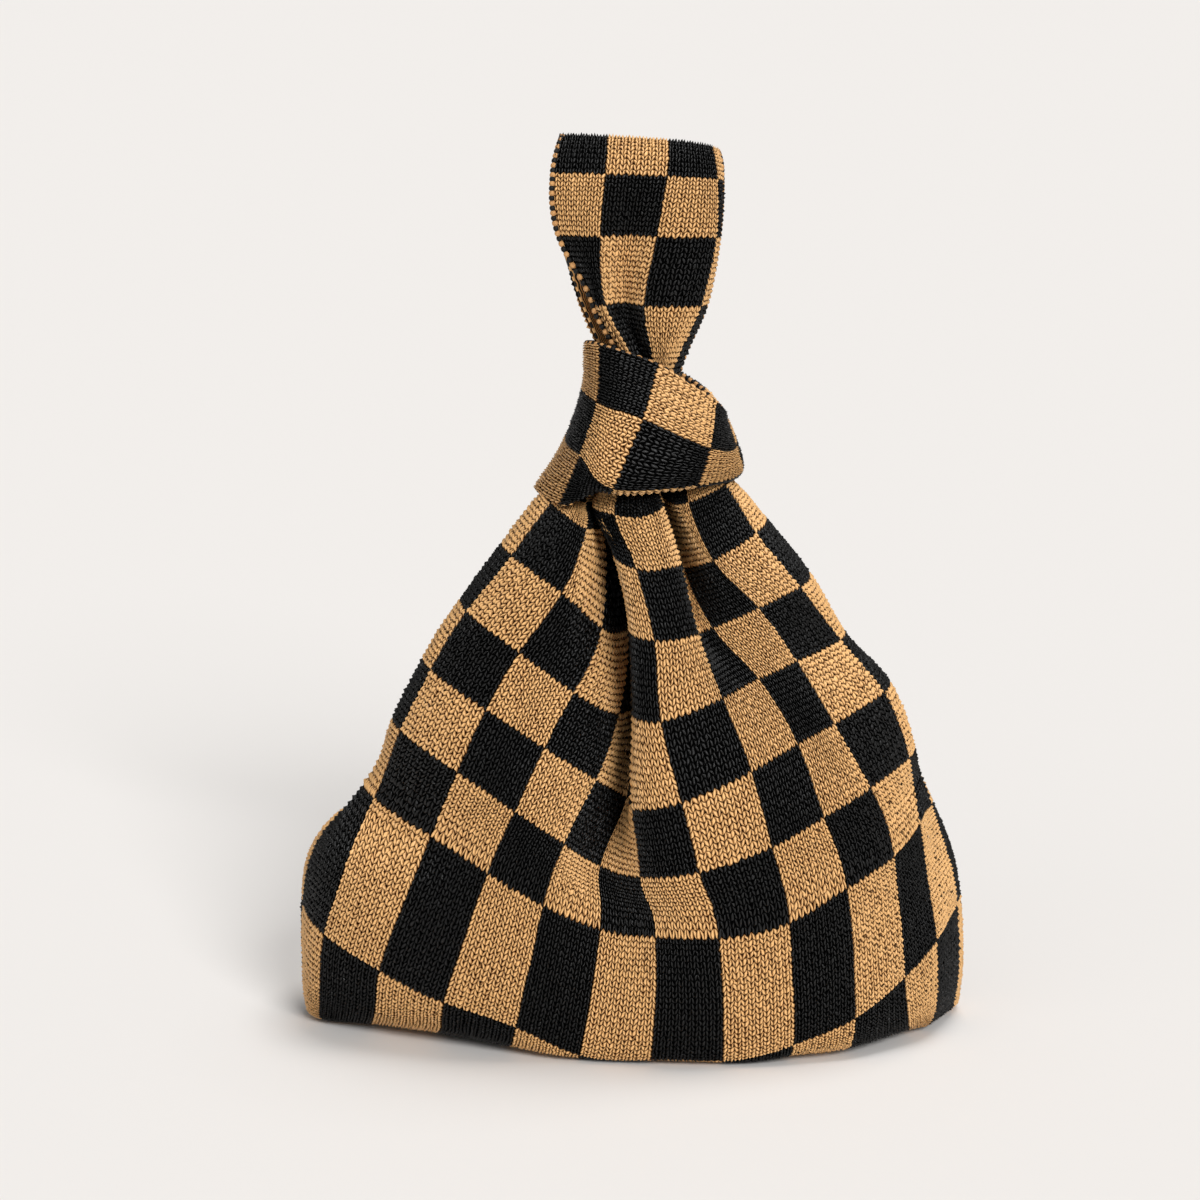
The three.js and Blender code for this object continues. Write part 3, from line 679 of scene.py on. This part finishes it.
# %% Tables of the short handle
BAND_START = -0.5
BAND_ROWS = 8
BAND = np.array(
    [
        # row, then x, y and z of the lower edge, of the two lines between and of the upper edge
        [-0.5, -37, -4, 212, -25, -4, 230, -18.5, -4, 250, -18, 0, 268],
        [0, -27.5, -34, 212, -20, -31, 230, -13.5, -24.5, 249, -12.5, -15, 269.5],
        [1, -5.5, -31, 217.5, -6.8, -41, 218.5, 4.4, -33, 244, 10.8, -18, 262.5],
        [2, 22.5, -23, 217.5, 25.5, -33.5, 218.5, 30.4, -28, 232, 33, -13, 247.5],
        [3, 37, -3, 214.5, 43.2, -6, 219.5, 41, -4, 229, 36.5, -1, 241.5],
        [4, 30, 27, 213, 35, 27, 226, 34, 24, 240, 29, 15, 249],
        [5.4, 3, 38, 212, 4, 37, 229, 7, 33, 246, 8, 23.5, 260],
        [6.8, -30, 27, 212, -23, 28, 231, -17, 25, 249, -14, 18.5, 266],
    ]
)
BAND_CHECKS_HIGH = 3
BAND_WALES = (0, 30)
BAND_COURSES = (-30, 66)


def band_checks(u, v):
    return u / WALES_PER_CHECK, v / COURSES_PER_CHECK + 1


def place_on_band(u, v):
    """Wales are counted from the upper edge down, and courses round the knot."""
    row = BAND_START + (v / COURSES_PER_CHECK - BAND_START) % BAND_ROWS
    around = np.concatenate([BAND[-2:], BAND, BAND[:2]])
    knots = around[:, 0].copy()
    knots[:2] -= BAND_ROWS
    knots[-2:] += BAND_ROWS
    height = BAND_CHECKS_HIGH - u / WALES_PER_CHECK
    lines = np.stack([smooth(knots, around[:, i], row) for i in range(1, 13)], -1)
    across = np.arange(BAND_CHECKS_HIGH + 1)
    return np.stack([smooth(across, lines[..., i::3], height) for i in range(3)], -1)


band_face = Face(place_on_band, BAND_WALES, BAND_COURSES, (60, 384))
band_knit = lay_knit("short_handle_knit", band_face, BAND_WALES, BAND_COURSES, 1, band_checks)
band_ground = lay_ground("short_handle_ground", band_face, BAND_WALES, BAND_COURSES, (30, 96))

# %% [markdown]
# ## The edges
#
# Both handles have a chain along their edges: the last stitch of each row, pulled round to the
# side. The two yarns take turns there, so the edge is a string of tan and black beads. One
# bead is modelled and copied, and each bead lies along the edge. Edges that are turned under,
# such as the lower one of the short handle, need no string.
#
# The long handle twists as it comes out of the knot, and its left edge rolls towards the
# camera there. So its string moves with the height: how far past the edge it lies, and how far
# behind the cloth, are given at a few courses.

# %% One bead, and strings of it
bpy.ops.mesh.primitive_uv_sphere_add(segments=8, ring_count=6, radius=0.5)
bead = bpy.context.object
bead_shape = np.empty(len(bead.data.vertices) * 3)
bead.data.vertices.foreach_get("co", bead_shape)
bead_shape = bead_shape.reshape(-1, 3)
bead_faces = [list(face.vertices) for face in bead.data.polygons]
bpy.data.objects.remove(bead)


def string_beads(name, line, facing, size):
    """Beads along a line of points in metres; size is (across, out, along) in metres."""
    along = np.gradient(line, axis=0)
    along /= np.linalg.norm(along, axis=1, keepdims=True)
    across = np.cross(along, facing)
    across /= np.linalg.norm(across, axis=1, keepdims=True)
    out = np.cross(across, along)
    x, y, z = (bead_shape[:, i, None] * size[i] for i in range(3))
    points = [p + x * a + y * o + z * w for p, a, o, w in zip(line, across, out, along)]
    count = len(bead_shape)
    faces = [[i + k * count for i in face] for k in range(len(line)) for face in bead_faces]
    data = bpy.data.meshes.new(name)
    data.from_pydata(np.concatenate(points).tolist(), [], faces)
    data.validate()
    piece = bpy.data.objects.new(name, data)
    bpy.context.scene.collection.objects.link(piece)
    data.shade_smooth()
    which_yarn = [(i // len(bead_faces)) % 2 for i in range(len(faces))]
    data.polygons.foreach_set("material_index", which_yarn)
    print(name, "has", len(line), "beads")
    return piece


def edge_line(face, wale, inwards, courses, out, behind):
    """A line along one wale of a face, `out` past its edge and `behind` it, in millimetres."""
    points, normals = face.at(np.full(courses.shape, wale), courses)
    inside, _ = face.at(np.full(courses.shape, wale + inwards), courses)
    side = points - inside
    side /= np.linalg.norm(side, axis=1, keepdims=True)
    out, behind = (np.reshape(distance, (-1, 1)) for distance in (out, behind))
    return (points + side * out - normals * behind) * MM, normals


HANDLE_LEFT, HANDLE_RIGHT = (float(wale) for wale in HANDLE_WALES)
BAND_UPPER = float(BAND_WALES[0])
on_handle = np.arange(HANDLE_COURSES[0] + 0.5, HANDLE_COURSES[1])
on_band = np.arange(BAND_COURSES[0] + 0.5, BAND_COURSES[1])
left_out = np.interp(on_handle, (26, 34, 46, 58, 68), (-2.2, 0.4, 0.2, -0.8, -2))
left_behind = np.interp(on_handle, (26, 34, 48, 55), (-1.8, -0.3, -0.3, 1.4))
LEFT, RIGHT, UPPER = "long_handle_left_edge", "long_handle_right_edge", "short_handle_upper_edge"
EDGES = [
    # name, face, wale, way inwards, courses, out, behind, and the size of a bead in millimetres
    (LEFT, handle_face, HANDLE_LEFT, 1, on_handle, left_out, left_behind, (2.3, 2.3, 2.4)),
    (RIGHT, handle_face, HANDLE_RIGHT, -1, on_handle, 0.2, 1.2, (2.0, 2.2, 2.5)),
    (UPPER, band_face, BAND_UPPER, 1, on_band, 0.0, 1.5, (1.7, 1.9, 2.4)),
]
beads = []
for name, face, wale, inwards, courses, out, behind, size in EDGES:
    line, facing = edge_line(face, wale, inwards, courses, out, behind)
    beads.append(string_beads(name, line, facing, np.array(size) * MM))

# %% [markdown]
# ## Yarn
#
# Both yarns are a smooth mercerised cotton, plied from a few strands. A leg of a stitch is
# painted light along its middle, painted darker where it turns away, and painted nearly black
# in the hole where legs meet. This painted shade lies on top of the shade of the relief. The
# colours below are those of the two yarns, and the painted shade of their sides and holes.
#
# One small function adds a node with its settings and its inputs. An input is named by its
# name or its number: a Mix node takes its factor at 0 and its two colours at 6 and 7, a
# MapRange its value at 0 and the two ends of its range at 1 and 2.


# %% Colours and nodes
def linear(code):
    """A colour written as a web code, made linear for the renderer."""
    parts = [int(code[i : i + 2], 16) / 255 for i in (1, 3, 5)]
    return [c / 12.92 if c <= 0.04045 else ((c + 0.055) / 1.055) ** 2.4 for c in parts] + [1]


def add(tree, kind, inputs=None, **settings):
    node = tree.nodes.new("ShaderNode" + kind)
    for name, value in settings.items():
        setattr(node, name, value)
    for name, value in (inputs or {}).items():
        if isinstance(value, bpy.types.NodeSocket):
            tree.links.new(value, node.inputs[name])
        else:
            node.inputs[name].default_value = value
    return node


def new_material(name, roughness, specular=0.3):
    material = bpy.data.materials.new(name)
    material.use_nodes = True
    surface = material.node_tree.nodes["Principled BSDF"]
    surface.inputs["Roughness"].default_value = roughness
    surface.inputs["Specular IOR Level"].default_value = specular
    return material, material.node_tree, surface


TAN = linear("#FFC782")
# Below: painted shade for the sides of the legs and the holes between them. The tan side colour
# and the darkest black also give the dark fibre streaks of the beads.
TAN_SHADE_AND_DARK_FIBRE = linear("#6E3512")
TAN_HOLE_SHADE = linear("#140802")
BLACK = linear("#0D0D0D")
BLACK_SHADE_AND_DARK_FIBRE = linear("#010101")
print("the tan yarn, in linear light:", [round(part, 3) for part in TAN[:3]])

# %% [markdown]
# The right side of the knitting is one material for all the cloth. The map "stitches" says
# where in a leg a point lies: half a stitch across is one leg, and the fraction along is how
# far up that leg. From these come two distances, from the leg's middle line ("side") and
# from the middle of its length ("end"). Their sum of powers ("edge") is small on the plump
# part of the yarn and large in the hole between legs. The plump part is painted light, and
# the rest is painted in shade, darkest in the hole, on top of the shade of the relief. The
# side also leans with the end, so the painted light band runs slantwise up each leg, as
# plied yarn does.
#
# Each leg is a little lighter or darker than the next, the fibres streak it finely, and slow
# wear spreads over several stitches. The map "checks" says which of the two yarns it is: a
# checkerboard is one yarn where the two whole numbers add up to an even one. Tan yarn shines
# more than black, and only on its plump part.

# %% The right side: two yarns in stocking stitch
LEG_LEAN = 0.3
END_WEIGHT = 0.9
HOLE_FROM, HOLE_TO = 0.75, 1.2
EACH_LEG, DARKEST = 0.3, -0.25
PLUMP_PAINTED_SHADING, FIBRE_LIGHT, WEAR_LIGHT = 0.9, 0.3, 0.25
SHINE_TAN, SHINE_LESS = 0.6, -0.2
FIBRE_SCALE, WEAR_SCALE = 2600.0, 90.0
KNIT_BUMP = 1.0 * MM
knit, tree, surface = new_material("two_yarn_stocking_stitch", 0.4)
stitches = add(tree, "UVMap", uv_map="stitches").outputs[0]
u, v, _ = add(tree, "SeparateXYZ", {0: stitches}).outputs
half = add(tree, "Math", {0: u, 1: 2.0}, operation="MULTIPLY").outputs[0]
in_course = add(tree, "Math", {0: v}, operation="FRACT").outputs[0]
end = add(tree, "Math", {0: in_course, 1: 2.0, 2: -1.0}, operation="MULTIPLY_ADD").outputs[0]
end_2 = add(tree, "Math", {0: end, 1: end}, operation="MULTIPLY").outputs[0]
end_4 = add(tree, "Math", {0: end_2, 1: end_2}, operation="MULTIPLY").outputs[0]
mirrored = add(tree, "Math", {0: u, 1: 0.5}, operation="PINGPONG").outputs[0]
side = add(tree, "Math", {0: mirrored, 1: -4.0, 2: 1.0}, operation="MULTIPLY_ADD").outputs[0]
side = add(tree, "Math", {0: end, 1: LEG_LEAN, 2: side}, operation="MULTIPLY_ADD").outputs[0]
side_2 = add(tree, "Math", {0: side, 1: side}, operation="MULTIPLY").outputs[0]
edge = add(tree, "Math", {0: end_4, 1: END_WEIGHT, 2: side_2}, operation="MULTIPLY_ADD").outputs[0]
legs = add(tree, "Math", {0: half}, operation="FLOOR").outputs[0]
course = add(tree, "Math", {0: v}, operation="FLOOR").outputs[0]
cell = add(tree, "CombineXYZ", {0: legs, 1: course}).outputs[0]
each = add(tree, "TexWhiteNoise", {"Vector": cell}, noise_dimensions="2D").outputs["Value"]
place = add(tree, "TexCoord").outputs["Object"]
fine = {"Vector": place, "Scale": FIBRE_SCALE, "Detail": 3.0}
fibres = add(tree, "TexNoise", fine).outputs["Fac"]
broad = {"Vector": place, "Scale": WEAR_SCALE, "Detail": 2.0}
wear = add(tree, "TexNoise", broad).outputs["Fac"]
ends = {0: edge, 1: 1.0, 2: 0.0}
plump = add(tree, "MapRange", ends, interpolation_type="SMOOTHSTEP").outputs[0]
# painted shade: where the ends of legs meet, the colour turns nearly black
ends = {0: edge, 1: HOLE_FROM, 2: HOLE_TO}
hole_shade = add(tree, "MapRange", ends, interpolation_type="SMOOTHSTEP").outputs[0]
# how light the colour is: a painted highlight on the plump middle of each leg and painted shade at
# its sides, plus the yarn's own random tone from leg to leg, fibres and wear
light = add(tree, "Math", {0: each, 1: EACH_LEG, 2: DARKEST}, operation="MULTIPLY_ADD").outputs[0]
for part, share, clamp in (
    (plump, PLUMP_PAINTED_SHADING, False),
    (fibres, FIBRE_LIGHT, False),
    (wear, WEAR_LIGHT, True),
):
    ends = {0: part, 1: share, 2: light}
    light = add(tree, "Math", ends, operation="MULTIPLY_ADD", use_clamp=clamp).outputs[0]
# the painted light and shade go into the colours of both yarns here
tan = add(tree, "Mix", {0: light, 6: TAN_SHADE_AND_DARK_FIBRE, 7: TAN}, data_type="RGBA").outputs[2]
tan = add(tree, "Mix", {0: hole_shade, 6: tan, 7: TAN_HOLE_SHADE}, data_type="RGBA").outputs[2]
black = add(tree, "Mix", {0: light, 6: BLACK_SHADE_AND_DARK_FIBRE, 7: BLACK}, data_type="RGBA").outputs[2]
checks = add(tree, "UVMap", uv_map="checks").outputs[0]
check = add(tree, "VectorMath", {0: checks}, operation="FLOOR").outputs[0]
column, row, _ = add(tree, "SeparateXYZ", {0: check}).outputs
both = add(tree, "Math", {0: column, 1: row}, operation="ADD").outputs[0]
odd = add(tree, "Math", {0: both, 1: 2.0}, operation="FLOORED_MODULO").outputs[0]
colour = add(tree, "Mix", {0: odd, 6: tan, 7: black}, data_type="RGBA").outputs[2]
tree.links.new(colour, surface.inputs["Base Color"])
ends = {0: odd, 1: SHINE_LESS, 2: SHINE_TAN}
shine = add(tree, "Math", ends, operation="MULTIPLY_ADD").outputs[0]
shine = add(tree, "Math", {0: plump, 1: shine}, operation="MULTIPLY").outputs[0]
tree.links.new(shine, surface.inputs["Specular IOR Level"])
height = add(tree, "Math", {0: fibres, 1: 0.15, 2: plump}, operation="MULTIPLY_ADD").outputs[0]
bump = add(tree, "Bump", {"Height": height, "Distance": KNIT_BUMP, "Strength": 0.9}).outputs[0]
tree.links.new(bump, surface.inputs["Normal"])
print(knit.name, "has", len(tree.nodes), "nodes")

# %% [markdown]
# The wrong side shows the other half of each stitch: fine upright lines of tan on black, one
# to a column, that sway from course to course. A sine across the columns makes the lines, and a
# sine along the courses sways them. It is duller than the right side, because the yarn lies
# in short loops there.

# %% The wrong side: birdseye
SWAY = 0.16
LINE_EDGE = 0.4
WRONG_SIDE_BUMP = 0.5 * MM
wrong_side, tree, surface = new_material("two_yarn_birdseye_wrong_side", 0.7)
stitches = add(tree, "UVMap", uv_map="stitches").outputs[0]
u, v, _ = add(tree, "SeparateXYZ", {0: stitches}).outputs
turn = add(tree, "Math", {0: v, 1: math.pi}, operation="MULTIPLY").outputs[0]
wave = add(tree, "Math", {0: turn}, operation="SINE").outputs[0]
bent = add(tree, "Math", {0: wave, 1: SWAY, 2: u}, operation="MULTIPLY_ADD").outputs[0]
turn = add(tree, "Math", {0: bent, 1: 2 * math.pi}, operation="MULTIPLY").outputs[0]
across = add(tree, "Math", {0: turn}, operation="SINE").outputs[0]
ends = {0: across, 1: 0.0, 2: LINE_EDGE}
line = add(tree, "MapRange", ends, interpolation_type="SMOOTHSTEP").outputs[0]
colour = add(tree, "Mix", {0: line, 6: BLACK, 7: TAN}, data_type="RGBA").outputs[2]
tree.links.new(colour, surface.inputs["Base Color"])
bump = add(tree, "Bump", {"Height": line, "Distance": WRONG_SIDE_BUMP, "Strength": 0.8}).outputs[0]
tree.links.new(bump, surface.inputs["Normal"])
print(wrong_side.name, "has", len(tree.nodes), "nodes")

# %% [markdown]
# The beads of the edges are single yarns, so each has a material of its own. Only the fibres
# show on so small a piece: they streak it light and dark, and roughen it a little.

# %% One yarn, for the beads of the edges
BEAD_FIBRE_SCALE = 1800.0
BEAD_BUMP = 0.3 * MM
YARNS = {"tan_cotton_yarn": (TAN, TAN_SHADE_AND_DARK_FIBRE), "black_cotton_yarn": (BLACK, BLACK_SHADE_AND_DARK_FIBRE)}
yarns = []
for name, (light_colour, dark_colour) in YARNS.items():
    yarn, tree, surface = new_material(name, 0.6)
    place = add(tree, "TexCoord").outputs["Object"]
    fine = {"Vector": place, "Scale": BEAD_FIBRE_SCALE, "Detail": 3.0}
    fibres = add(tree, "TexNoise", fine).outputs["Fac"]
    ends = {0: fibres, 6: dark_colour, 7: light_colour}
    colour = add(tree, "Mix", ends, data_type="RGBA").outputs[2]
    tree.links.new(colour, surface.inputs["Base Color"])
    bump = add(tree, "Bump", {"Height": fibres, "Distance": BEAD_BUMP, "Strength": 0.5}).outputs[0]
    tree.links.new(bump, surface.inputs["Normal"])
    yarns.append(yarn)
print("materials:", [material.name for material in (knit, wrong_side, *yarns)])

# %% [markdown]
# ## What belongs to what
#
# Each visible piece rides on the bag's one body and takes the place of the frame's solid that it
# covers, which is hidden. Along the finished cloth the two straps measure 52 by 267 mm and
# 227 by 52 mm.

# %% Dress the pieces
KNITS = [
    ("body", "checked_knit", pouch_panels + [pouch_ground]),
    ("long_handle", "handle_knit", [handle_knit, handle_ground, beads[0], beads[1]]),
    ("short_handle", "knot_knit", [band_knit, band_ground, beads[2]]),
]
for node, slot, group in KNITS:
    for piece in group:
        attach(piece, "root")
        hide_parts(node)
for piece in pouch_panels + [handle_knit, band_knit]:
    piece.data.materials.append(knit)
for piece in (pouch_ground, handle_ground, band_ground):
    piece.data.materials.append(wrong_side)
for piece in beads:
    for yarn in yarns:
        piece.data.materials.append(yarn)

print("pieces dressed:", sum(len(group) for _, _, group in KNITS))

# %% [markdown]
# ## Floor and light
#
# The bag stands on a plain pale surface that runs on behind it with no edge. It is matt, like
# paper, so it shows no gloss. An even light comes from all round. Three lamps are added to it,
# all so large that their shadows have no hard edge: the main one from the front and a little
# from the right, a faint one from the left, which keeps the shaded side open, and one from
# high up at the right, which puts a soft shadow at the left foot of the bag. The view
# transform is Standard, which leaves the black as deep and the paper as pale as they are.

# %% Floor, sky and lamps
FLOOR_SIZE = 60
EVEN_LIGHT = 0.25
bpy.ops.mesh.primitive_plane_add(size=FLOOR_SIZE)
floor = bpy.context.object
floor.name = "floor"
paper, _, surface = new_material("pale_paper", 0.9, specular=0)
surface.inputs["Base Color"].default_value = linear("#EBE8E5")
floor.data.materials.append(paper)

world = bpy.data.worlds.new("even_light")
world.use_nodes = True
sky = world.node_tree.nodes["Background"]
sky.inputs["Color"].default_value = linear("#F6F4F2")
sky.inputs["Strength"].default_value = EVEN_LIGHT
bpy.context.scene.world = world
bpy.context.scene.view_settings.view_transform = "Standard"


def add_sun(name, azimuth, height, strength, softness):
    """A lamp at an azimuth, counted from the camera's side towards the right, and a height. Both
    are in degrees, and so is its softness, the angle that the lamp fills."""
    data = bpy.data.lights.new(name, "SUN")
    data.energy = strength
    data.angle = math.radians(softness)
    lamp = bpy.data.objects.new(name, data)
    bpy.context.scene.collection.objects.link(lamp)
    a, h = math.radians(azimuth), math.radians(height)
    towards = Vector((math.sin(a) * math.cos(h), -math.cos(a) * math.cos(h), math.sin(h)))
    lamp.rotation_euler = towards.to_track_quat("Z", "Y").to_euler()
    print(name, "has strength", strength)


add_sun("soft_key", 22, 32, 2.1, 22)
add_sun("soft_fill", -30, 30, 0.3, 60)
add_sun("soft_top", 120, 78, 1.4, 28)
